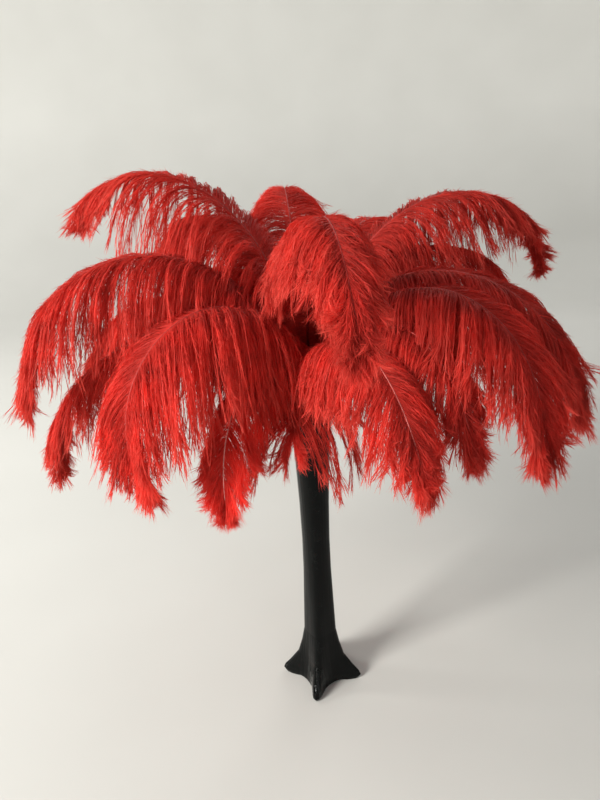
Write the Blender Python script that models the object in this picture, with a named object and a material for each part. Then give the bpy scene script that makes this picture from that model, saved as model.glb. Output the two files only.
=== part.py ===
"""Bouquet of dyed ostrich plumes standing in a black glass tower vase.

Metres, +Z up. The origin is on the surface the vase stands on, on the vase's axis.
The vase's four feet point along +X, +Y, -X and -Y.

Every plume grew as one piece, so every plume is one solid: a round quill held in
the vase's neck, a bare shaft, and a thin blade that arches over and droops on both
sides of the shaft, as far out as the tips of its barbs.
"""

import math

import bmesh
import bpy
from mathutils import Vector

# ---------------------------------------------------------------- the vase, in metres

WELL_FLOOR = 0.012          # solid glass under the bore
FOOT_ARCH = 0.006           # how far the underside is dished at the axis
PAD_INNER = 0.034           # the dish ends here, and the four foot pads lie flat beyond it

# Outer surface: height, radius along a ridge, radius in the panel between two ridges,
# and the half angle in degrees over which a ridge falls to half its height.
VASE_LEVELS = (
    (0.0000, 0.0480, 0.0242, 11),
    (0.0045, 0.0512, 0.0241, 11),
    (0.0110, 0.0487, 0.0235, 12),
    (0.0187, 0.0418, 0.0222, 14),
    (0.0350, 0.0301, 0.0202, 18),
    (0.0550, 0.0242, 0.0184, 20),
    (0.0750, 0.0203, 0.0168, 21),
    (0.1120, 0.0190, 0.0162, 22),
    (0.1670, 0.0171, 0.0154, 22),
    (0.2100, 0.0167, 0.0156, 22),
    (0.2600, 0.0176, 0.0168, 22),
    (0.3130, 0.0196, 0.0191, 22),
    (0.3500, 0.0221, 0.0218, 22),
    (0.3700, 0.0249, 0.0248, 22),
    (0.3850, 0.0290, 0.0290, 22),
    (0.3965, 0.0350, 0.0350, 22),
    (0.3990, 0.0360, 0.0360, 22),
)
# The rim's rounded top and the bore below it: height and radius, round all the way.
BORE_LEVELS = (
    (0.4000, 0.0350),
    (0.3990, 0.0331),
    (0.3850, 0.0256),
    (0.3700, 0.0210),
    (0.3500, 0.0175),
    (0.3130, 0.0144),
    (0.2600, 0.0122),
    (0.2100, 0.0114),
    (0.1500, 0.0116),
    (0.0350, 0.0130),
    (0.0150, 0.0120),
    (WELL_FLOOR, 0.0095),
)
RIDGE_SHARPNESS = 2.3
RIDGE_ANGLES = (0, 4.5, 8, 12, 19, 30)           # degrees from a ridge, where the shape needs points
UNDERSIDE_SHARE = 0.40                           # a ring of the underside, as a share of the outline
EDGE_SHARE = 0.97                                # the dish's edge between the feet, likewise

# ---------------------------------------------------------------- the plumes, in metres

MOUTH_Z = 0.385             # the shafts start to lean here, inside the flared mouth
QUILL_RADIUS = 0.0018
TIP_RADIUS = 0.0006
OUTER_RING = 0.0116         # radius of the ring of quills against the wall of the neck
INNER_RING = 0.0073         # radius of the ring of quills inside it
BARB_DROP = 1.6             # how far the blade hangs below a level shaft, in half breadths
FULL_BREADTH_AT = 0.20      # nearer the vase's axis than this, blades are crowded together and narrower
BLADE_HALF_ANGLE = 80       # degrees of the arch from the shaft to a blade's edge
MID_BLADE_ANGLE = 45
SHEET_HALF = 0.0006         # half the blade's thickness part way out, and at its edge
EDGE_HALF = 0.0004
RING_POINTS = 12

# Where along the arch the solid has a section, and how broad the blade is there.
STATIONS = (0.00, 0.12, 0.22, 0.32, 0.42, 0.52, 0.62, 0.72, 0.82, 0.91, 1.00)
BREADTH = ((0.00, 0.0), (0.16, 0.0), (0.22, 0.10), (0.32, 0.45), (0.45, 0.85), (0.60, 1.0),
           (0.78, 0.95), (0.90, 0.62), (1.00, 0.10))
SPINE_STEPS = 100

# Each plume: compass direction it leaves in (degrees from +X), lean at the mouth and at the
# tip (degrees from straight up), length past the mouth, how late it bends (1 is evenly),
# sideways sweep in degrees, half breadth of its blade, and the height of its quill's foot.
UPPER_PLUMES = (
    (-150, 8, 190, 0.455, 1.42, 0, 0.044, 0.300),
    (-74, 1, 156, 0.475, 1.32, 2, 0.042, 0.292),
    (-12, 0, 182, 0.436, 1.10, -20, 0.027, 0.305),
    (29, 5, 181, 0.495, 1.46, 9, 0.044, 0.296),
    (70, 1, 136, 0.385, 1.15, 4, 0.044, 0.302),
    (108, 3, 110, 0.420, 1.00, -6, 0.046, 0.290),
    (140, 3, 155, 0.430, 1.30, 0, 0.046, 0.308),
    (173, 4, 158, 0.435, 1.92, 0, 0.046, 0.298),
)
LOWER_PLUMES = (
    (-162, 21, 188, 0.410, 0.97, -20, 0.044, 0.306),
    (-122, 2, 222, 0.415, 1.22, -3, 0.046, 0.302),
    (-115, 28, 205, 0.268, 1.15, 34, 0.022, 0.304),
    (-87, 34, 130, 0.130, 1.00, 0, 0.018, 0.312),
    (-62, 14, 156, 0.345, 1.00, 1, 0.027, 0.303),
    (-45, 11, 178, 0.350, 1.19, -8, 0.025, 0.307),
    (-29, 15, 197, 0.428, 1.38, -25, 0.027, 0.301),
    (2, 14, 180, 0.400, 1.10, 0, 0.040, 0.304),
    (32, 6, 180, 0.405, 1.30, 0, 0.038, 0.303),
    (57, 14, 185, 0.400, 1.00, 0, 0.042, 0.309),
    (85, 16, 178, 0.400, 1.05, 0, 0.040, 0.302),
    (112, 14, 186, 0.400, 1.00, 0, 0.042, 0.305),
    (140, 12, 172, 0.410, 1.10, 0, 0.042, 0.306),
    (168, 14, 180, 0.410, 1.05, 0, 0.042, 0.310),
)
FIRST_LOWER_SLOT = -160     # the lower plumes' quills share their ring evenly from here


def clear_scene():
    for obj in list(bpy.data.objects):
        bpy.data.objects.remove(obj, do_unlink=True)


def make_material(name, colour, roughness, metallic=0.0):
    material = bpy.data.materials.new(name)
    material.use_nodes = True
    shader = material.node_tree.nodes["Principled BSDF"]
    shader.inputs["Base Color"].default_value = (*colour, 1.0)
    shader.inputs["Roughness"].default_value = roughness
    shader.inputs["Metallic"].default_value = metallic
    return material


def interpolate(table, x):
    """Straight-line reading of a table of (place, value) pairs."""
    for (x0, y0), (x1, y1) in zip(table, table[1:]):
        if x <= x1:
            return y0 + (y1 - y0) * (x - x0) / (x1 - x0)
    return table[-1][1]


def loft(name, rings, bottom_point=None, top_point=None):
    """A closed skin over rings that all have the same number of points.

    An end is closed by one flat face, or by a fan to a point where one is given. The second
    half of a ring is cut along the other diagonal than the first, so that the two faces of
    a thin twisted sheet keep their distance.
    """
    mesh = bmesh.new()
    loops = [[mesh.verts.new(point) for point in ring] for ring in rings]
    count = len(loops[0])
    for low, high in zip(loops, loops[1:]):
        for i in range(count):
            j = (i + 1) % count
            if i < count // 2:
                mesh.faces.new((low[i], low[j], high[j]))
                mesh.faces.new((low[i], high[j], high[i]))
            else:
                mesh.faces.new((low[i], low[j], high[i]))
                mesh.faces.new((low[j], high[j], high[i]))
    for loop, point in ((loops[0], bottom_point), (loops[-1], top_point)):
        if point is None:
            mesh.faces.new(loop)
            continue
        centre = mesh.verts.new(point)
        for i in range(count):
            mesh.faces.new((loop[i], loop[(i + 1) % count], centre))
    bmesh.ops.recalc_face_normals(mesh, faces=mesh.faces)
    data = bpy.data.meshes.new(name)
    mesh.to_mesh(data)
    mesh.free()
    return data


def place(collection, name, mesh, material, crease):
    mesh.materials.append(material)
    mesh.shade_smooth()
    mesh.set_sharp_from_angle(angle=math.radians(crease))
    obj = bpy.data.objects.new(name, mesh)
    collection.objects.link(obj)
    return obj


# ---------------------------------------------------------------- vase

def ridge_share(angle, half_angle):
    """1 on a ridge, 0 midway between two, falling to a half at half_angle."""
    def bell(x):
        return 1.0 / (1.0 + (x / half_angle) ** RIDGE_SHARPNESS)
    floor = bell(45.0)
    return (bell(angle) - floor) / (1.0 - floor)


def vase_directions():
    """(angle from +X, angle from the nearest ridge) of each point round the vase, in degrees."""
    directions = []
    for foot in range(4):
        left = [(90 * foot - a, a) for a in reversed(RIDGE_ANGLES[1:])]
        right = [(90 * foot + a, a) for a in RIDGE_ANGLES]
        directions += left + right + [(90 * foot + 45, 45)]
    return directions


def dish(radius):
    """Height of the dished underside, which is level on the four foot pads."""
    sphere = (PAD_INNER ** 2 + FOOT_ARCH ** 2) / (2 * FOOT_ARCH)
    if radius >= PAD_INNER:
        return 0.0
    return math.sqrt(sphere ** 2 - radius ** 2) - (sphere - FOOT_ARCH)


def build_vase(collection):
    directions = vase_directions()

    def outline(level):
        height, ridge, panel, half_angle = level
        return [(math.radians(a), panel + (ridge - panel) * ridge_share(b, half_angle))
                for a, b in directions]

    def point(angle, radius, height):
        return Vector((radius * math.cos(angle), radius * math.sin(angle), height))

    foot_line = outline(VASE_LEVELS[0])
    dish_edge = [(a, min(r * EDGE_SHARE, PAD_INNER)) for a, r in foot_line]
    rings = [[point(a, r * UNDERSIDE_SHARE, dish(r * UNDERSIDE_SHARE)) for a, r in foot_line]]
    for line in (dish_edge, foot_line):
        rings.append([point(a, r, dish(r)) for a, r in line])
    # between the feet the sides start at the edge of the dish, above the surface
    for level in VASE_LEVELS[1:]:
        height = level[0]
        ring = []
        for a, r in outline(level):
            ring.append(point(a, r, max(height, dish(r) + 0.4 * height)))
        rings.append(ring)
    for height, radius in BORE_LEVELS:
        rings.append([point(math.radians(a), radius, height) for a, _ in directions])
    mesh = loft("vase", rings, bottom_point=Vector((0, 0, dish(0.0))),
                top_point=Vector((0, 0, WELL_FLOOR - 0.0005)))
    return place(collection, "vase", mesh, make_material("black_glass", (0.008, 0.009, 0.009), 0.12), 40)


# ---------------------------------------------------------------- plumes

class Arch:
    """The line of one plume's shaft, from its quill's foot to its tip."""

    def __init__(self, row, ring_radius, slot):
        self.direction, self.lean, self.droop, self.length, self.late, self.sweep = row[:6]
        self.half_breadth, self.foot_z = row[6:]
        self.slot = math.radians(slot)
        self.ring_radius = ring_radius
        point = Vector((ring_radius * math.cos(self.slot), ring_radius * math.sin(self.slot), MOUTH_Z))
        self.points = [point.copy()]
        for step in range(SPINE_STEPS):
            tilt, heading = self.attitude((step + 0.5) / SPINE_STEPS)
            point += self.forward(tilt, heading) * (self.length / SPINE_STEPS)
            self.points.append(point.copy())

    def attitude(self, t):
        """Tilt from straight up and compass heading, in radians, a share t along the arch."""
        tilt = self.lean + (self.droop - self.lean) * t ** self.late
        heading = self.direction + self.sweep * t ** 1.5
        return math.radians(tilt), math.radians(heading)

    @staticmethod
    def forward(tilt, heading):
        return Vector((math.sin(tilt) * math.cos(heading), math.sin(tilt) * math.sin(heading),
                       math.cos(tilt)))

    def section(self, t):
        """Centre, sideways, upward and the sine of the tilt, a share t along the arch."""
        tilt, heading = self.attitude(t)
        centre = self.points[round(t * SPINE_STEPS)]
        sideways = Vector((-math.sin(heading), math.cos(heading), 0.0))
        upward = Vector((-math.cos(tilt) * math.cos(heading), -math.cos(tilt) * math.sin(heading),
                         math.sin(tilt)))
        return centre, sideways, upward, math.sin(tilt)


def round_ring(centre, sideways, upward, radius):
    turns = [math.pi * (i + 0.5) * 2 / RING_POINTS for i in range(RING_POINTS)]
    return [centre + (sideways * math.cos(a) + upward * math.sin(a)) * radius for a in turns]


def blade_ring(arch, t, shaft_radius):
    """Section of the blade: its upper face from one edge to the other, then its under face."""
    centre, sideways, upward, level = arch.section(t)
    breadth = interpolate(BREADTH, t)
    if breadth == 0.0:
        return round_ring(centre, sideways, upward, shaft_radius)
    room = math.hypot(centre.x, centre.y) / FULL_BREADTH_AT
    half = max(arch.half_breadth * min(breadth, room), 2 * shaft_radius)
    drop = BARB_DROP * half * max(level, 0.0)
    rib = math.asin(min(1.0, shaft_radius / half))
    angles = (math.radians(BLADE_HALF_ANGLE), math.radians(MID_BLADE_ANGLE), rib)
    halves = (EDGE_HALF, SHEET_HALF, shaft_radius)
    upper = []
    under = []
    for side in (1, -1):
        order = zip(angles, halves) if side == 1 else zip(reversed(angles), reversed(halves))
        for angle, thick in order:
            across = half * math.sin(angle) * side
            down = drop * (1 - math.cos(angle))
            normal = Vector((drop * math.sin(angle) * side, half * math.cos(angle))).normalized()
            for ring, sign in ((upper, 1), (under, -1)):
                x = across + normal.x * thick * sign
                y = -down + normal.y * thick * sign
                ring.append(centre + sideways * x + upward * y)
    return upper + list(reversed(under))


def build_plume(collection, name, arch, material):
    rings = []
    axis_x = Vector((math.cos(arch.slot), math.sin(arch.slot), 0.0))
    _, sideways, upward, _ = arch.section(0.0)
    for height in (arch.foot_z, 0.5 * (arch.foot_z + MOUTH_Z)):
        centre = axis_x * arch.ring_radius + Vector((0, 0, height))
        rings.append(round_ring(centre, sideways, upward, QUILL_RADIUS))
    for t in STATIONS:
        radius = QUILL_RADIUS + (TIP_RADIUS - QUILL_RADIUS) * t
        rings.append(blade_ring(arch, t, radius))
    return place(collection, name, loft(name, rings), material, 50)


def build_plumes(collection):
    for number, row in enumerate(UPPER_PLUMES, 1):
        material = make_material(f"upper_red_{number:02d}", (0.56, 0.035, 0.028), 0.75)
        build_plume(collection, f"plume_upper_{number:02d}", Arch(row, INNER_RING, row[0]), material)
    for number, row in enumerate(LOWER_PLUMES, 1):
        material = make_material(f"lower_red_{number:02d}", (0.50, 0.030, 0.024), 0.75)
        slot = FIRST_LOWER_SLOT + 360 * (number - 1) / len(LOWER_PLUMES)
        build_plume(collection, f"plume_lower_{number:02d}", Arch(row, OUTER_RING, slot), material)


def main():
    clear_scene()
    parts = bpy.data.collections.new("ostrich_feather_vase")
    bpy.context.scene.collection.children.link(parts)
    build_vase(parts)
    build_plumes(parts)


main()
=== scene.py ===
"""Looks of a bouquet of dyed ostrich plumes in a black glass tower vase.

Metres, +Z up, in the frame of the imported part. Every plume is one mesh of a shaft with
several hundred barbs, each barb a thin ribbon with fine barbules along it.
"""

import math
from collections import namedtuple

import bpy
import numpy as np
from mathutils import Matrix, Vector


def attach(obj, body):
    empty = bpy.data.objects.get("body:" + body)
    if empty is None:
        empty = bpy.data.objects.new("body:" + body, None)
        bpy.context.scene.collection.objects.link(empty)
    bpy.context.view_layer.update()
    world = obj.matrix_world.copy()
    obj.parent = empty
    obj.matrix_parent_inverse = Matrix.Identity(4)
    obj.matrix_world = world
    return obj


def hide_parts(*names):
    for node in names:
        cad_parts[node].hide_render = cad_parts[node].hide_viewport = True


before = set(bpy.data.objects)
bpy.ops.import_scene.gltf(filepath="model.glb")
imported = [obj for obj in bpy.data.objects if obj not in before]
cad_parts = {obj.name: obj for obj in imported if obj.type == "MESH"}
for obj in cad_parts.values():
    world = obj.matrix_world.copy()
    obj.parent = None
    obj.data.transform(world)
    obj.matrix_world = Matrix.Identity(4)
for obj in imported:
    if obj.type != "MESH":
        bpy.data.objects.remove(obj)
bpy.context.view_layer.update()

# ---------------------------------------------------------------- plumes, in metres

# The first seven values are the arch, the same as the imported solid's: compass direction, lean at
# the mouth and at the tip (degrees from straight up), length past the mouth, how late it bends,
# sideways sweep (degrees) and height of the quill's foot. The rest is the look: longest barb, how
# full the tip is, barbs on each side, how strongly they gather in strands and locks (0 to 1), how
# far they stand up from the shaft (degrees), how light the dyed colour is (1 is average; set high,
# it also paints in light on the vane), and how light the shaft is (0 to 1; set high, it also paints
# in light glowing through the shaft).
Plume = namedtuple("Plume", "direction lean droop length late sweep foot_z "
                            "longest fullness per_side gather stand bright pale")
UPPER_PLUMES = (
    Plume(-150, 8, 190, 0.455, 1.42, 0, 0.300, 0.120, 1.12, 700, 0.18, 0, 1.00, 0.2),
    Plume(-74, 1, 156, 0.475, 1.32, 2, 0.292, 0.074, 0.95, 660, 0.10, 2, 1.00, 0.1),
    Plume(-12, 0, 182, 0.436, 1.10, -20, 0.305, 0.098, 0.85, 600, 0.18, 4, 0.92, 0.2),
    Plume(29, 5, 181, 0.495, 1.46, 9, 0.296, 0.094, 0.58, 760, 0.25, 2, 0.92, 0.2),
    Plume(70, 1, 136, 0.385, 1.15, 4, 0.302, 0.110, 1.00, 560, 0.20, 0, 1.00, 0.2),
    Plume(108, 3, 110, 0.420, 1.00, -6, 0.290, 0.118, 0.80, 800, 0.00, 0, 1.06, 0.2),
    Plume(140, 3, 155, 0.430, 1.30, 0, 0.308, 0.105, 0.95, 540, 0.25, 2, 1.00, 0.2),
    Plume(173, 4, 158, 0.435, 1.92, 0, 0.298, 0.145, 0.74, 520, 0.65, 9, 1.00, 0.2),
)
LOWER_PLUMES = (
    Plume(-162, 21, 188, 0.410, 0.97, -20, 0.306, 0.108, 0.85, 520, 0.50, 4, 0.96, 0.2),
    Plume(-122, 2, 222, 0.415, 1.22, -3, 0.302, 0.122, 0.80, 800, 0.20, 0, 1.10, 0.2),
    # Dyed colour and shaft set light as painted light: this plume hangs in shade under its neighbour, and
    # they paint in the light shining through its thin vane and shaft.
    Plume(-115, 28, 205, 0.268, 1.15, 34, 0.304, 0.062, 0.70, 340, 0.30, 0, 1.25, 0.9),
    Plume(-87, 34, 130, 0.130, 1.00, 0, 0.312, 0.118, 1.00, 110, 0.60, 2, 1.00, 0.2),
    Plume(-62, 14, 156, 0.345, 1.00, 1, 0.303, 0.080, 0.90, 500, 0.20, 2, 1.06, 0.6),
    Plume(-45, 11, 178, 0.350, 1.19, -8, 0.307, 0.078, 0.85, 440, 0.20, 2, 0.98, 0.5),
    Plume(-29, 15, 197, 0.428, 1.38, -25, 0.301, 0.106, 0.80, 640, 0.20, 5, 1.02, 0.2),
    Plume(2, 14, 180, 0.400, 1.10, 0, 0.304, 0.102, 0.95, 500, 0.25, 2, 0.96, 0.3),
    Plume(32, 6, 180, 0.405, 1.30, 0, 0.303, 0.096, 0.95, 520, 0.22, 2, 0.94, 0.2),
    Plume(57, 14, 185, 0.400, 1.00, 0, 0.309, 0.105, 0.95, 520, 0.25, 2, 1.02, 0.3),
    Plume(85, 16, 178, 0.400, 1.05, 0, 0.302, 0.102, 0.95, 520, 0.25, 2, 1.00, 0.4),
    Plume(112, 14, 186, 0.400, 1.00, 0, 0.305, 0.105, 0.95, 520, 0.25, 2, 1.02, 0.3),
    Plume(140, 12, 172, 0.410, 1.10, 0, 0.306, 0.105, 0.95, 520, 0.25, 2, 1.00, 0.4),
    Plume(168, 14, 180, 0.410, 1.05, 0, 0.310, 0.098, 0.90, 500, 0.25, 2, 1.02, 0.3),
)
FIRST_LOWER_SLOT = -160     # the lower quills share their ring evenly from here
MOUTH_Z = 0.385
OUTER_RING = 0.0116
INNER_RING = 0.0073
SWEEP_POWER = 1.5           # the sideways sweep comes mostly towards the tip
SPINE_STEPS = 200

# The shaft.
QUILL_RADIUS = 0.0018
SHAFT_TIP_RADIUS = 0.00035
SHAFT_TAPER = 0.8
QUILL_POINT_LENGTH = 0.004
QUILL_POINT_SHARE = 0.45    # the foot's radius beside the quill's
SHAFT_SHARE = 0.93          # the shaft ends here, and the last barbs reach on to the tip
SHAFT_SIDES = 8
SHAFT_RINGS = 40

# How long the barbs are, and how far they splay from the shaft, along the arch.
LENGTH_ALONG = ((0.09, 0.35), (0.15, 0.66), (0.22, 0.94), (0.30, 1.0), (0.54, 1.0), (0.68, 0.90),
                (0.79, 0.70), (0.87, 0.50), (0.93, 0.34))
SPLAY_ALONG = ((0.09, 70), (0.30, 62), (0.60, 52), (0.80, 36), (0.93, 12))
FIRST_BARB = 0.10           # below this the shaft is bare
TIP_FROM, TIP_TO = 0.5, 0.85        # a plume's fullness takes over between these shares
SPACING_JITTER = 0.3        # of the gap between two barbs
TUFT_BARBS = 28             # on each side of the shaft's very tip
TUFT_SPLAY = 17             # degrees
REACHES = np.array((0, 0.10, 0.22, 0.36, 0.52, 0.68, 0.84, 1.0))    # where a barb has points
BARB_ROOT = (0.7, 0.3)      # where it leaves the shaft: outwards and upwards, in shaft radii
BARB_HALF_WIDTH = 0.00046
BARB_TIP_SHARE = 0.5        # a barb's width at its tip, beside its width at the shaft
BARB_WIDTH_RANGE = (0.8, 1.2)
BARB_TWIST = 0.45           # radians

# Every barb starts out stiff, then falls, wavers a little and curls at its tip.
STIFF_SHARE = 0.46          # of the longest barb: it has mostly turned down after this length
FALL_POWER = 1.35
FALL_DRIFT = 0.08           # how far off straight down it falls, towards the tip and outwards
WAVERS = ((0.0010, 5.0), (0.0005, 13.0))    # how wide and how quick
WAVER_FULL_AT = 0.5
CURL_FROM, CURL_TO = 0.72, 1.25             # it would level off past the tip,
CURL_AT_TIP = 0.5                           # which has about this share of it
CURL_UP = 0.0012

# Barbs cling in strands from partway out, and strands draw together in locks at their tips.
STRAND_SIZES = (2, 6)
LOCK_SIZES = (2, 5)
OWN_CLING = (0.5, 1.15)     # a barb's own share in it, at least and at most
STRAND_CLING, STRAND_GATHER = 0.28, 0.7     # the least, and what the plume's gathering adds
STRAND_LEAST, LOCK_LEAST, CLING_MOST = 0.08, 0.02, 0.9
LATEST_PARTING = 0.5        # strands form about this far out on a plume that doesn't gather
PARTING_BEFORE, PARTING_AFTER = 0.12, 0.42
LOCK_GATHER = 0.5
LOCK_POWER = 1.8

# Spread of the noise in these: each barb's own, its strand's and its lock's.
LENGTH_NOISE = (0.06, 0.08, 0.04)
SPLAY_NOISE = (2.5, 2.5, 2)         # degrees
LIFT_NOISE = (3, 2, 2)              # degrees
STIFF_NOISE = (0.08, 0.04, 0.08)
FALL_NOISE = (0.04, 0.05, 0.03)
WAVE_PHASE_NOISE = (1.0, 2.0, 2.0)  # radians
WAVE_SPEED_NOISE = (0.2, 0.1, 0.1)
CURL_NOISE = (0.0018, 0.0036, 0.0010)
TONE_NOISE = (0.10, 0.05, 0.08)
CLING_NOISE = (0.12, 0.14, 0.10)
PARTING_NOISE = 0.07

# Barbules are fine slivers that leave the barb and run beside it.
BARBULES = 24                       # on each barb
BARBULE_REACH = (0.007, 0.019)      # how far along the barb a barbule runs
BARBULE_SPREAD = (0.0014, 0.0050)   # how far from the barb it ends
BARBULE_NARROWING = 0.55            # how much less that is at the barb's tip
BARBULE_DEPTH = 0.6                 # how far they leave the vane's plane, beside their spread
BARBULE_STRAY = 0.0004
BARBULE_HALF_BASE = 0.00029
BARBULE_BASE_RANGE = (0.7, 1.3)
FIRST_BARBULE, BARBULED_SHARE = 0.02, 0.96      # where they start, and over how much of the barb
PAST_TIP = 1.06                     # no barbule ends further along the barb than this

# On the UV map every barb and its barbules have a narrow upright column of their own.
COLUMN_FROM, COLUMN_SHARE = 0.1, 0.8        # of the column's place in the row
COLUMN_FOOT, COLUMN_HEIGHT = 0.01, 0.96
BARBULE_UV_HEIGHT = 0.02


def interpolate(table, x):
    places, values = zip(*table)
    return np.interp(x, places, values)


def unit(v):
    return v / np.maximum(np.linalg.norm(v, axis=-1, keepdims=True), 1e-9)


def ease(x, low, high):
    x = np.clip((x - low) / (high - low), 0, 1)
    return x * x * (3 - 2 * x)


class Arch:
    """The line of one plume's shaft, as arrays."""

    def __init__(self, plume, ring_radius, slot):
        self.plume = plume
        angle = math.radians(slot)
        self.ring_place = [ring_radius * math.cos(angle), ring_radius * math.sin(angle)]
        start = self.ring_place + [MOUTH_Z]
        middles = (np.arange(SPINE_STEPS) + 0.5) / SPINE_STEPS
        steps = self.frame_at(middles)[0] * (plume.length / SPINE_STEPS)
        self.points = np.vstack([start, start + np.cumsum(steps, axis=0)])

    def frame_at(self, t):
        """Forward, sideways and upward unit vectors at shares t along the arch."""
        plume = self.plume
        bent = np.clip(t, 0, 1)
        tilt = np.radians(plume.lean + (plume.droop - plume.lean) * bent ** plume.late)
        heading = np.radians(plume.direction + plume.sweep * bent ** SWEEP_POWER)
        sin_t, cos_t, sin_h, cos_h = np.sin(tilt), np.cos(tilt), np.sin(heading), np.cos(heading)
        forward = np.stack([sin_t * cos_h, sin_t * sin_h, cos_t], -1)
        sideways = np.stack([-sin_h, cos_h, np.zeros_like(sin_h)], -1)
        upward = np.stack([-cos_t * cos_h, -cos_t * sin_h, sin_t], -1)
        return forward, sideways, upward

    def point_at(self, t):
        places = np.linspace(0, 1, SPINE_STEPS + 1)
        return np.stack([np.interp(t, places, self.points[:, i]) for i in range(3)], -1)


class MeshParts:
    """Gathers points and faces of one mesh, with a tone and a place along its barb for each point."""

    def __init__(self):
        self.points, self.tones, self.alongs, self.uvs = [], [], [], []
        self.quads, self.tris = [], []
        self.quad_slots, self.tri_slots = [], []
        self.count = 0

    def add(self, points, tones, alongs, uvs, quads=None, tris=None, slot=0):
        self.points.append(points.reshape(-1, 3))
        self.tones.append(np.broadcast_to(tones, points.shape[:-1]).reshape(-1))
        self.alongs.append(np.broadcast_to(alongs, points.shape[:-1]).reshape(-1))
        self.uvs.append(uvs.reshape(-1, 2))
        if quads is not None:
            self.quads.append(quads.reshape(-1, 4) + self.count)
            self.quad_slots.append(np.full(quads.size // 4, slot))
        if tris is not None:
            self.tris.append(tris.reshape(-1, 3) + self.count)
            self.tri_slots.append(np.full(tris.size // 3, slot))
        self.count += points.size // 3

    def build(self, name, materials):
        points = np.concatenate(self.points).astype(np.float32)
        quads = np.concatenate(self.quads)
        tris = np.concatenate(self.tris)
        corners = np.concatenate([quads.ravel(), tris.ravel()]).astype(np.int32)
        totals = np.concatenate([np.full(len(quads), 4), np.full(len(tris), 3)])
        starts = np.concatenate([[0], np.cumsum(totals)[:-1]]).astype(np.int32)
        slots = np.concatenate(self.quad_slots + self.tri_slots).astype(np.int32)
        mesh = bpy.data.meshes.new(name)
        mesh.vertices.add(len(points))
        mesh.vertices.foreach_set("co", points.ravel())
        mesh.loops.add(len(corners))
        mesh.loops.foreach_set("vertex_index", corners)
        mesh.polygons.add(len(totals))
        mesh.polygons.foreach_set("loop_start", starts)
        mesh.polygons.foreach_set("material_index", slots)
        mesh.polygons.foreach_set("use_smooth", np.ones(len(totals), bool))
        for label, values in (("tone", self.tones), ("along", self.alongs)):
            layer = mesh.attributes.new(label, "FLOAT", "POINT")
            layer.data.foreach_set("value", np.concatenate(values).astype(np.float32))
        uv = mesh.uv_layers.new(name="OFBake")
        uv.data.foreach_set("uv", np.concatenate(self.uvs)[corners].astype(np.float32).ravel())
        for material in materials:
            mesh.materials.append(material)
        mesh.update(calc_edges=True)
        mesh.validate()
        obj = bpy.data.objects.new(name, mesh)
        bpy.context.scene.collection.objects.link(obj)
        return obj


def groups_of(rng, count, sizes):
    """The number of the group that each of a row of things belongs to."""
    group = np.zeros(count, int)
    start, number = 0, 0
    while start < count:
        size = rng.integers(sizes[0], sizes[1] + 1)
        group[start:start + size] = number
        start, number = start + size, number + 1
    return group


def draw_together(points, group, strength):
    """Points moved towards the middle line of their group; strength is per barb and per place."""
    groups = group.max() + 1
    middle = np.zeros((groups,) + points.shape[1:])
    np.add.at(middle, group, points)
    middle /= np.bincount(group, minlength=groups)[:, None, None]
    return points + (middle[group] - points) * strength[..., None]


class Clumps:
    """A row of barbs sorted into strands, and the strands into locks."""

    def __init__(self, rng, count):
        self.rng = rng
        self.count = count
        self.strand = groups_of(rng, count, STRAND_SIZES)
        self.strands = self.strand.max() + 1
        self.lock = groups_of(rng, self.strands, LOCK_SIZES)[self.strand]
        self.locks = self.lock.max() + 1

    def varied(self, spreads, shape=()):
        """Noise with a part of its own for each barb, strand and lock."""
        own, strand_wide, lock_wide = spreads
        noise = self.rng.normal(0, own, (self.count,) + shape)
        noise += self.rng.normal(0, strand_wide, (self.strands,) + shape)[self.strand]
        noise += self.rng.normal(0, lock_wide, (self.locks,) + shape)[self.lock]
        return noise

    def gathered(self, points, gather):
        """The barbs' points, drawn together in strands and then in locks."""
        own_noise, strand_noise, lock_noise = CLING_NOISE
        own = np.clip(self.rng.normal(1, own_noise, (self.count, 1)), *OWN_CLING)
        cling = self.rng.normal(STRAND_CLING + STRAND_GATHER * gather, strand_noise, self.strands)
        cling = np.clip(cling, STRAND_LEAST, CLING_MOST)[self.strand][:, None]
        stray = self.rng.normal(0, PARTING_NOISE, self.strands)[self.strand][:, None]
        parting = LATEST_PARTING * (1 - gather) + stray
        closing = ease(REACHES - parting, -PARTING_BEFORE, PARTING_AFTER)
        points = draw_together(points, self.strand, cling * closing * own)
        cling = self.rng.normal(LOCK_GATHER * gather, lock_noise, self.locks)
        cling = np.clip(cling, LOCK_LEAST, CLING_MOST)[self.lock][:, None]
        return draw_together(points, self.lock, cling * REACHES ** LOCK_POWER * own)


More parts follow.
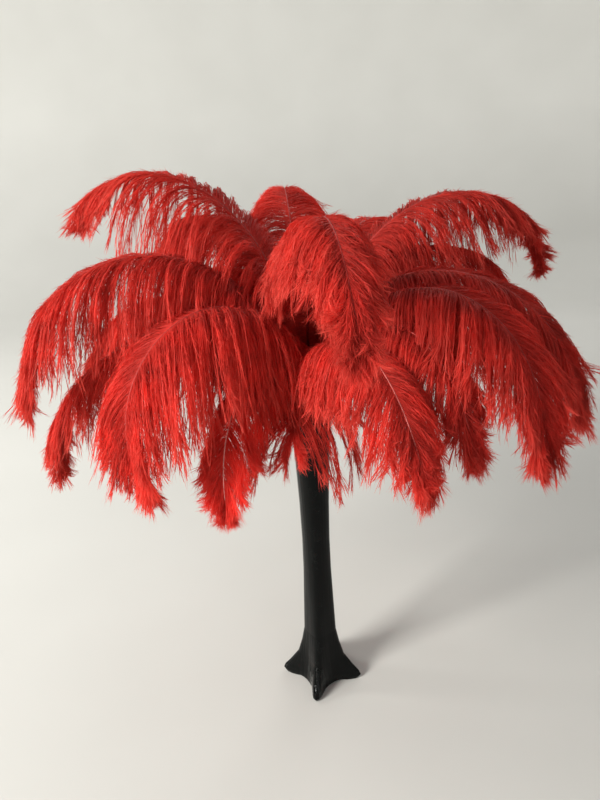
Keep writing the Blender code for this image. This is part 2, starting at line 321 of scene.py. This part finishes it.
def barb_lines(arch, plume, side, rng):
    """Points along every barb of one side, and its widthways direction, length and tone."""
    t = np.linspace(FIRST_BARB, SHAFT_SHARE, plume.per_side)
    t += rng.normal(0, SPACING_JITTER * (SHAFT_SHARE - FIRST_BARB) / plume.per_side, plume.per_side)
    t = np.concatenate([np.clip(t, FIRST_BARB, SHAFT_SHARE), np.full(TUFT_BARBS, SHAFT_SHARE)])
    clumps = Clumps(rng, len(t))
    forward, sideways, upward = arch.frame_at(t)
    outward = sideways * side

    length = plume.longest * interpolate(LENGTH_ALONG, t) * (1 + clumps.varied(LENGTH_NOISE))
    length *= 1 + (plume.fullness - 1) * ease(t, TIP_FROM, TIP_TO)
    splay = interpolate(SPLAY_ALONG, t) + clumps.varied(SPLAY_NOISE)
    splay[plume.per_side:] = np.abs(rng.normal(0, TUFT_SPLAY, TUFT_BARBS))
    splay = np.radians(splay)[:, None]
    lift = np.radians(plume.stand + clumps.varied(LIFT_NOISE))[:, None]
    start = unit(outward * np.sin(splay) + forward * np.cos(splay) + upward * np.sin(lift))
    width = unit(forward * np.sin(splay) - outward * np.cos(splay))

    stiff = STIFF_SHARE * plume.longest * (1 + clumps.varied(STIFF_NOISE))
    down = np.array([0.0, 0.0, -1.0]) + FALL_DRIFT * forward + FALL_DRIFT * outward
    down = unit(down + clumps.varied(FALL_NOISE, (3,)))
    shaft_radius = QUILL_RADIUS + (SHAFT_TIP_RADIUS - QUILL_RADIUS) * t[:, None]
    points = [arch.point_at(t) + (outward * BARB_ROOT[0] + upward * BARB_ROOT[1]) * shaft_radius]
    for near, far in zip(REACHES, REACHES[1:]):
        fall = 1 - np.exp(-((near + far) / 2 * length / stiff) ** FALL_POWER)[:, None]
        heading = unit(start * (1 - fall) + down * fall)
        points.append(points[-1] + heading * ((far - near) * length)[:, None])
    points = clumps.gathered(np.stack(points, 1), plume.gather)

    for amount, speed in WAVERS:
        phase = clumps.varied(WAVE_PHASE_NOISE)[:, None]
        speeds = speed * (1 + clumps.varied(WAVE_SPEED_NOISE))[:, None]
        wave = amount * np.sin(phase + speeds * REACHES)
        points += width[:, None] * (wave * ease(REACHES, 0, WAVER_FULL_AT))[..., None]
    curl = clumps.varied(CURL_NOISE, (3,)) + upward * CURL_UP
    points += curl[:, None] * (ease(REACHES, CURL_FROM, CURL_TO) / CURL_AT_TIP)[None, :, None]
    tone = np.clip(0.5 + clumps.varied(TONE_NOISE), 0, 1)
    return points, width, length, tone


def along_barb(points, place):
    """The points at shares place along each barb, carried straight on past its tip."""
    low = np.clip(np.searchsorted(REACHES, place, side="right") - 1, 0, len(REACHES) - 2)
    share = ((place - REACHES[low]) / (REACHES[low + 1] - REACHES[low]))[..., None]
    rows = np.arange(len(points))[:, None]
    return points[rows, low] * (1 - share) + points[rows, low + 1] * share, low


def add_barbs(parts, arch, plume, rng):
    """Every barb as a thin tapering ribbon, with its barbules."""
    sides = [barb_lines(arch, plume, side, rng) for side in (1, -1)]
    points, width, length, tone = [np.concatenate(both) for both in zip(*sides)]
    count, stops = points.shape[:2]
    heading = unit(np.gradient(points, axis=1))
    across = unit(width[:, None] - heading * np.sum(heading * width[:, None], -1, keepdims=True))
    face = np.cross(across, heading)
    twist = rng.normal(0, BARB_TWIST, (count, 1, 1))
    across = across * np.cos(twist) + face * np.sin(twist)
    face = np.cross(across, heading)
    taper = (1 - (1 - BARB_TIP_SHARE) * REACHES)[None, :, None]
    half = BARB_HALF_WIDTH * taper * rng.uniform(*BARB_WIDTH_RANGE, (count, 1, 1))
    strip = np.stack([points - across * half, points + across * half], 2)
    column = ((np.arange(count) + COLUMN_FROM) / count)[:, None, None]
    column_width = COLUMN_SHARE / count
    uv = np.zeros(strip.shape[:3] + (2,))
    uv[..., 0] = column + column_width * np.array([0, 1])
    uv[..., 1] = COLUMN_FOOT + COLUMN_HEIGHT * REACHES[None, :, None]
    base = (np.arange(count) * 2 * stops)[:, None] + 2 * np.arange(stops - 1)[None]
    quads = np.stack([base, base + 1, base + 3, base + 2], -1)
    parts.add(strip, tone[:, None, None], REACHES[None, :, None], uv, quads=quads)

    shape = (count, BARBULES)
    place = (np.arange(BARBULES) + rng.uniform(0, 1, shape)) / BARBULES * BARBULED_SHARE + FIRST_BARBULE
    root, low = along_barb(points, place)
    run = rng.uniform(*BARBULE_REACH, shape)
    end, _ = along_barb(points, np.minimum(place + run / length[:, None], PAST_TIP))
    rows = np.arange(count)[:, None]
    side = np.where(rng.random(shape) < 0.5, -1.0, 1.0)[..., None]
    spread = (rng.uniform(*BARBULE_SPREAD, shape) * (1 - BARBULE_NARROWING * place ** 2))[..., None]
    depth = rng.normal(0, BARBULE_DEPTH, shape)[..., None]
    end = end + across[rows, low] * side * spread + face[rows, low] * depth * spread
    end += rng.normal(0, BARBULE_STRAY, shape + (3,))
    base_way = unit(np.cross(end - root, rng.normal(0, 1, shape + (3,))))
    base_way = base_way * BARBULE_HALF_BASE * rng.uniform(*BARBULE_BASE_RANGE, shape)[..., None]
    sliver = np.stack([root - base_way, root + base_way, end], 2)
    uv = np.zeros(sliver.shape[:3] + (2,))
    uv[..., 0] = column + column_width * np.array([0.0, 1.0, 0.5])
    uv[..., 1] = COLUMN_FOOT + COLUMN_HEIGHT * place[..., None] + np.array([0.0, 0.0, BARBULE_UV_HEIGHT])
    tris = np.arange(count * BARBULES * 3).reshape(-1, 3)
    parts.add(sliver, tone[:, None, None], place[..., None], uv, tris=tris)


def add_shaft(parts, arch):
    """A slim tapering tube from the quill's foot to the end of the shaft."""
    foot = np.array(arch.ring_place + [arch.plume.foot_z])
    t = np.linspace(0, SHAFT_SHARE, SHAFT_RINGS)
    centres = np.vstack([foot, foot + [0, 0, QUILL_POINT_LENGTH], arch.point_at(t)])
    t = np.concatenate([[0, 0], t])
    _, sideways, upward = arch.frame_at(t)
    radius = QUILL_RADIUS + (SHAFT_TIP_RADIUS - QUILL_RADIUS) * (t / SHAFT_SHARE) ** SHAFT_TAPER
    radius[0] *= QUILL_POINT_SHARE
    turn = np.arange(SHAFT_SIDES) * 2 * math.pi / SHAFT_SIDES
    circle = np.cos(turn)[:, None] * sideways[:, None] + np.sin(turn)[:, None] * upward[:, None]
    rings = centres[:, None] + circle * radius[:, None, None]
    i = np.arange(len(rings) - 1)[:, None] * SHAFT_SIDES
    j = np.arange(SHAFT_SIDES)[None]
    j_next = (j + 1) % SHAFT_SIDES
    quads = np.stack([i + j, i + j_next, i + SHAFT_SIDES + j_next, i + SHAFT_SIDES + j], -1)
    uv = np.zeros(rings.shape[:2] + (2,))
    uv[..., 0] = np.arange(SHAFT_SIDES)[None] / SHAFT_SIDES
    uv[..., 1] = t[:, None]
    parts.add(rings, arch.plume.pale, t[:, None], uv, quads=quads, slot=1)


# ---------------------------------------------------------------- materials

def new_material(name):
    material = bpy.data.materials.new(name)
    material.use_nodes = True
    tree = material.node_tree
    return material, tree, tree.nodes["Principled BSDF"]


def add_node(tree, kind, **settings):
    node = tree.nodes.new(kind)
    for key, value in settings.items():
        setattr(node, key, value)
    return node


def add_noise(tree, place, scale, detail=2.0, roughness=0.5):
    """Noise from 0 to 1 over the places that a vector socket gives."""
    node = add_node(tree, "ShaderNodeTexNoise")
    node.inputs["Scale"].default_value = scale
    node.inputs["Detail"].default_value = detail
    node.inputs["Roughness"].default_value = roughness
    tree.links.new(place, node.inputs["Vector"])
    return node.outputs["Fac"]


def add_ramp(tree, value, stops):
    """The colour that a value from 0 to 1 stands for, between stops of a place and a colour."""
    node = add_node(tree, "ShaderNodeValToRGB")
    elements = node.color_ramp.elements
    while len(elements) < len(stops):
        elements.new(0.5)
    for element, (place, colour) in zip(elements, stops):
        element.position = place
        element.color = (*colour, 1.0)
    tree.links.new(value, node.inputs["Fac"])
    return node.outputs["Color"]


def add_product(tree, first, second):
    node = add_node(tree, "ShaderNodeMix", data_type="RGBA", blend_type="MULTIPLY")
    node.inputs["Factor"].default_value = 1.0
    tree.links.new(first, node.inputs["A"])
    tree.links.new(second, node.inputs["B"])
    return node.outputs["Result"]


def add_range(tree, value, from_range, to_range):
    node = add_node(tree, "ShaderNodeMapRange")
    node.inputs["From Min"].default_value, node.inputs["From Max"].default_value = from_range
    node.inputs["To Min"].default_value, node.inputs["To Max"].default_value = to_range
    tree.links.new(value, node.inputs["Value"])
    return node.outputs["Result"]


def add_bump(tree, shader, height, strength, distance):
    node = add_node(tree, "ShaderNodeBump")
    node.inputs["Strength"].default_value = strength
    node.inputs["Distance"].default_value = distance
    tree.links.new(height, node.inputs["Height"])
    tree.links.new(node.outputs["Normal"], shader.inputs["Normal"])


def plume_material(name, bright):
    """Dyed barbs: each barb has its own tone, darker by the shaft and lighter and pinker at the tip, a
    painted glow of light through the thin fibres.
    """
    material, tree, shader = new_material(name)
    link = tree.links.new
    tone = add_node(tree, "ShaderNodeAttribute", attribute_name="tone").outputs["Fac"]
    along = add_node(tree, "ShaderNodeAttribute", attribute_name="along").outputs["Fac"]
    coords = add_node(tree, "ShaderNodeTexCoord").outputs["Object"]
    # Scaled by the plume's level, which on some plumes also paints in light.
    colour = add_ramp(tree, tone, (
        (0.0, (0.66 * bright, 0.034, 0.024)),
        (0.5, (0.76 * bright, 0.056 * bright, 0.040 * bright)),
        (1.0, (0.80 * bright, 0.092 * bright, 0.066 * bright))))
    # Darker by the shaft; at the tip lighter and pinker, painted light scattered through the thin fibres.
    dark_root_painted_tip_glow = add_ramp(tree, along, (
        (0.0, (0.76, 0.65, 0.65)), (0.35, (0.95, 0.93, 0.93)), (1.0, (1.00, 1.35, 1.35))))
    patches = add_noise(tree, coords, 38.0, detail=3.0)
    patchy = add_ramp(tree, patches, ((0.30, (0.80, 0.78, 0.78)), (0.70, (1.12, 1.15, 1.15))))
    # The base colour carries the painted tip glow and the plume's painted light as well as the dye.
    dyed = add_product(tree, add_product(tree, colour, dark_root_painted_tip_glow), patchy)
    link(dyed, shader.inputs["Base Color"])
    link(add_range(tree, tone, (0.0, 1.0), (0.50, 0.72)), shader.inputs["Roughness"])
    shader.inputs["Specular IOR Level"].default_value = 0.20
    shader.inputs["Sheen Weight"].default_value = 0.25
    shader.inputs["Sheen Roughness"].default_value = 0.4
    shader.inputs["Sheen Tint"].default_value = (1.0, 0.45, 0.40, 1.0)
    through = add_node(tree, "ShaderNodeBsdfTranslucent")
    link(dyed, through.inputs["Color"])
    blend = add_node(tree, "ShaderNodeMixShader")
    blend.inputs["Fac"].default_value = 0.55
    link(shader.outputs["BSDF"], blend.inputs[1])
    link(through.outputs["BSDF"], blend.inputs[2])
    link(blend.outputs["Shader"], tree.nodes["Material Output"].inputs["Surface"])
    return material


def shaft_material():
    """The shaft: dark dyed red, turning lighter, pinker and horny as its value rises; the lightest end is
    painted light glowing through a thin shaft.
    """
    material, tree, shader = new_material("plume_shaft")
    pale = add_node(tree, "ShaderNodeAttribute", attribute_name="tone").outputs["Fac"]
    coords = add_node(tree, "ShaderNodeTexCoord").outputs["Object"]
    # The top stop is painted light: the glow of light through a thin shaft.
    colour = add_ramp(tree, pale, (
        (0.0, (0.22, 0.010, 0.008)), (0.4, (0.50, 0.045, 0.035)), (1.0, (0.68, 0.30, 0.27))))
    grain = add_noise(tree, coords, 260.0, detail=4.0)
    marks = add_ramp(tree, grain, ((0.35, (0.75, 0.70, 0.70)), (0.65, (1.1, 1.1, 1.1))))
    tree.links.new(add_product(tree, colour, marks), shader.inputs["Base Color"])
    shader.inputs["Roughness"].default_value = 0.55
    shader.inputs["Specular IOR Level"].default_value = 0.3
    add_bump(tree, shader, grain, strength=0.55, distance=0.0003)
    return material


def glass_material():
    """Opaque black pressed glass: glossy, with faint upright flow lines, dust and a few scuffs."""
    material, tree, shader = new_material("black_glass_finish")
    link = tree.links.new
    coords = add_node(tree, "ShaderNodeTexCoord").outputs["Object"]
    wear = add_noise(tree, coords, 55.0, detail=8.0, roughness=0.65)
    dusty = add_ramp(tree, wear, (
        (0.50, (0.0022, 0.0026, 0.0025)), (0.74, (0.006, 0.0065, 0.006)), (0.84, (0.030, 0.030, 0.028))))
    link(dusty, shader.inputs["Base Color"])
    link(add_range(tree, wear, (0.35, 0.80), (0.04, 0.20)), shader.inputs["Roughness"])
    shader.inputs["Specular IOR Level"].default_value = 0.11
    upright = add_node(tree, "ShaderNodeMapping")
    upright.inputs["Scale"].default_value = (1.0, 1.0, 0.09)
    link(coords, upright.inputs["Vector"])
    flow_lines = add_noise(tree, upright.outputs["Vector"], 75.0)
    add_bump(tree, shader, flow_lines, strength=0.40, distance=0.0012)
    return material


def backdrop_material():
    """Off-white paper, with painted shade making the floor a little greyer than the wall."""
    material, tree, shader = new_material("backdrop_white")
    coords = add_node(tree, "ShaderNodeTexCoord").outputs["Object"]
    paper = add_noise(tree, coords, 3.0)
    white = add_ramp(tree, paper, ((0.3, (0.62, 0.615, 0.585)), (0.7, (0.65, 0.645, 0.615))))
    height = add_node(tree, "ShaderNodeSeparateXYZ")
    tree.links.new(coords, height.inputs["Vector"])
    # Painted shade: darker low down, so the floor reads as lying in less light than the wall.
    rise = add_ramp(tree, height.outputs["Z"], ((0.0, (0.78, 0.78, 0.78)), (0.8, (1.0, 1.0, 1.0))))
    tree.links.new(add_product(tree, white, rise), shader.inputs["Base Color"])
    shader.inputs["Roughness"].default_value = 0.75
    return material


# ---------------------------------------------------------------- plume pieces

FIRST_SEED = 100


def build_plumes():
    """One piece for each plume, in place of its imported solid."""
    shaft = shaft_material()
    placed = [("upper", i, plume, INNER_RING, plume.direction) for i, plume in enumerate(UPPER_PLUMES, 1)]
    for i, plume in enumerate(LOWER_PLUMES, 1):
        slot = FIRST_LOWER_SLOT + 360 * (i - 1) / len(LOWER_PLUMES)
        placed.append(("lower", i, plume, OUTER_RING, slot))
    for seed, (tier, number, plume, ring_radius, slot) in enumerate(placed, FIRST_SEED):
        label = f"{tier}_{number:02d}"
        arch = Arch(plume, ring_radius, slot)
        parts = MeshParts()
        add_barbs(parts, arch, plume, np.random.default_rng(seed))
        add_shaft(parts, arch)
        piece = parts.build(f"feather_{label}", [plume_material(f"dye_{label}", plume.bright), shaft])
        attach(piece, "root")
        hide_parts(f"plume_{label}")


def finish_vase():
    glass = glass_material()
    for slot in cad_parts["vase"].material_slots:
        slot.material = glass


# ---------------------------------------------------------------- stage, light and camera

FLOOR_RADIUS = 2.2
CURVE_RADIUS = 1.2          # of the floor's upward curve into the wall
CURVE_STEPS = 14
WALL_TOP = 3.2
STAGE_SIDES = 96

VIEW_TURN = math.radians(11.8)          # the camera stands this far round from straight in front
CAMERA_AT = Vector((0.129, -0.668, 0.655))
CAMERA_PITCH = math.radians(21.4)
CAMERA_ROLL = math.radians(-3.02)
FOCAL_SHARE = 0.825                     # focal length beside the picture's height
SENSOR_MM = 36.0

ROOM_COLOUR = (0.95, 0.97, 1.0, 1.0)
ROOM_STRENGTH = 0.42
BOUQUET_MIDDLE = (0, 0, 0.40)
WALL_BEHIND = (-0.9, 3.2, 0.7)
# Each light: its place as seen from the camera's side, what it points at, size, watts and colour.
LIGHTS = {
    "key_window": ((-1.6, -1.1, 1.25), BOUQUET_MIDDLE, (0.7, 0.8), 78, (1.0, 0.985, 0.94)),
    "fill_front": ((0.9, -2.2, 1.2), BOUQUET_MIDDLE, (1.6, 1.2), 6, (0.97, 0.98, 1.0)),
    "fill_back": ((0.9, 2.0, 1.5), BOUQUET_MIDDLE, (1.4, 1.2), 12, (1.0, 0.99, 0.97)),
    "wall_wash": ((-1.7, 0.4, 1.6), WALL_BEHIND, (1.0, 1.0), 44, (1.0, 0.99, 0.95)),
}


def build_stage():
    """A wide pale floor that curves up all round, far outside the object and every camera."""
    profile = [(FLOOR_RADIUS / 2, 0.0), (FLOOR_RADIUS, 0.0)]
    for i in range(1, CURVE_STEPS + 1):
        angle = math.pi / 2 * i / CURVE_STEPS
        rise = CURVE_RADIUS * (1 - math.cos(angle))
        profile.append((FLOOR_RADIUS + CURVE_RADIUS * math.sin(angle), rise))
    profile.append((FLOOR_RADIUS + CURVE_RADIUS, WALL_TOP))
    turns = [2 * math.pi * k / STAGE_SIDES for k in range(STAGE_SIDES)]
    points = [(r * math.cos(turn), r * math.sin(turn), z) for r, z in profile for turn in turns]
    centre = len(points)
    points.append((0.0, 0.0, 0.0))
    faces = []
    for k in range(STAGE_SIDES):
        k_next = (k + 1) % STAGE_SIDES
        faces.append((k, k_next, centre))
        for ring in range(len(profile) - 1):
            low = ring * STAGE_SIDES
            high = low + STAGE_SIDES
            faces.append((low + k, high + k, high + k_next, low + k_next))
    mesh = bpy.data.meshes.new("backdrop")
    mesh.from_pydata(points, [], faces)
    mesh.shade_smooth()
    mesh.materials.append(backdrop_material())
    stage = bpy.data.objects.new("backdrop", mesh)
    bpy.context.scene.collection.objects.link(stage)


def build_camera():
    level = math.cos(CAMERA_PITCH)
    forward = Vector((-math.sin(VIEW_TURN) * level, math.cos(VIEW_TURN) * level, -math.sin(CAMERA_PITCH)))
    right = Vector((math.cos(VIEW_TURN), math.sin(VIEW_TURN), 0.0))
    up = right.cross(forward)
    rolled_right = right * math.cos(CAMERA_ROLL) + up * math.sin(CAMERA_ROLL)
    rolled_up = up * math.cos(CAMERA_ROLL) - right * math.sin(CAMERA_ROLL)
    camera = bpy.data.cameras.new("camera")
    camera.sensor_fit = "AUTO"
    camera.sensor_width = SENSOR_MM
    camera.lens = FOCAL_SHARE * SENSOR_MM
    camera.clip_start = 0.01
    holder = bpy.data.objects.new("camera", camera)
    axes = Matrix((rolled_right, rolled_up, -forward)).transposed()
    holder.matrix_world = Matrix.Translation(CAMERA_AT) @ axes.to_4x4()
    bpy.context.scene.collection.objects.link(holder)
    bpy.context.scene.camera = holder


def add_light(name, place, target, size, power, colour):
    light = bpy.data.lights.new(name, "AREA")
    light.shape = "RECTANGLE"
    light.size, light.size_y = size
    light.energy = power
    light.color = colour
    holder = bpy.data.objects.new(name, light)
    holder.rotation_euler = (target - place).to_track_quat("-Z", "Y").to_euler()
    holder.location = place
    holder.visible_camera = False
    bpy.context.scene.collection.objects.link(holder)


def build_lights():
    world = bpy.data.worlds.new("room")
    world.use_nodes = True
    background = world.node_tree.nodes["Background"]
    background.inputs["Color"].default_value = ROOM_COLOUR
    background.inputs["Strength"].default_value = ROOM_STRENGTH
    bpy.context.scene.world = world
    bpy.context.scene.view_settings.view_transform = "Standard"
    turn = Matrix.Rotation(VIEW_TURN, 3, "Z")
    for name, (place, target, size, power, colour) in LIGHTS.items():
        add_light(name, turn @ Vector(place), turn @ Vector(target), size, power, colour)


build_stage()
build_camera()
build_lights()
build_plumes()
finish_vase()
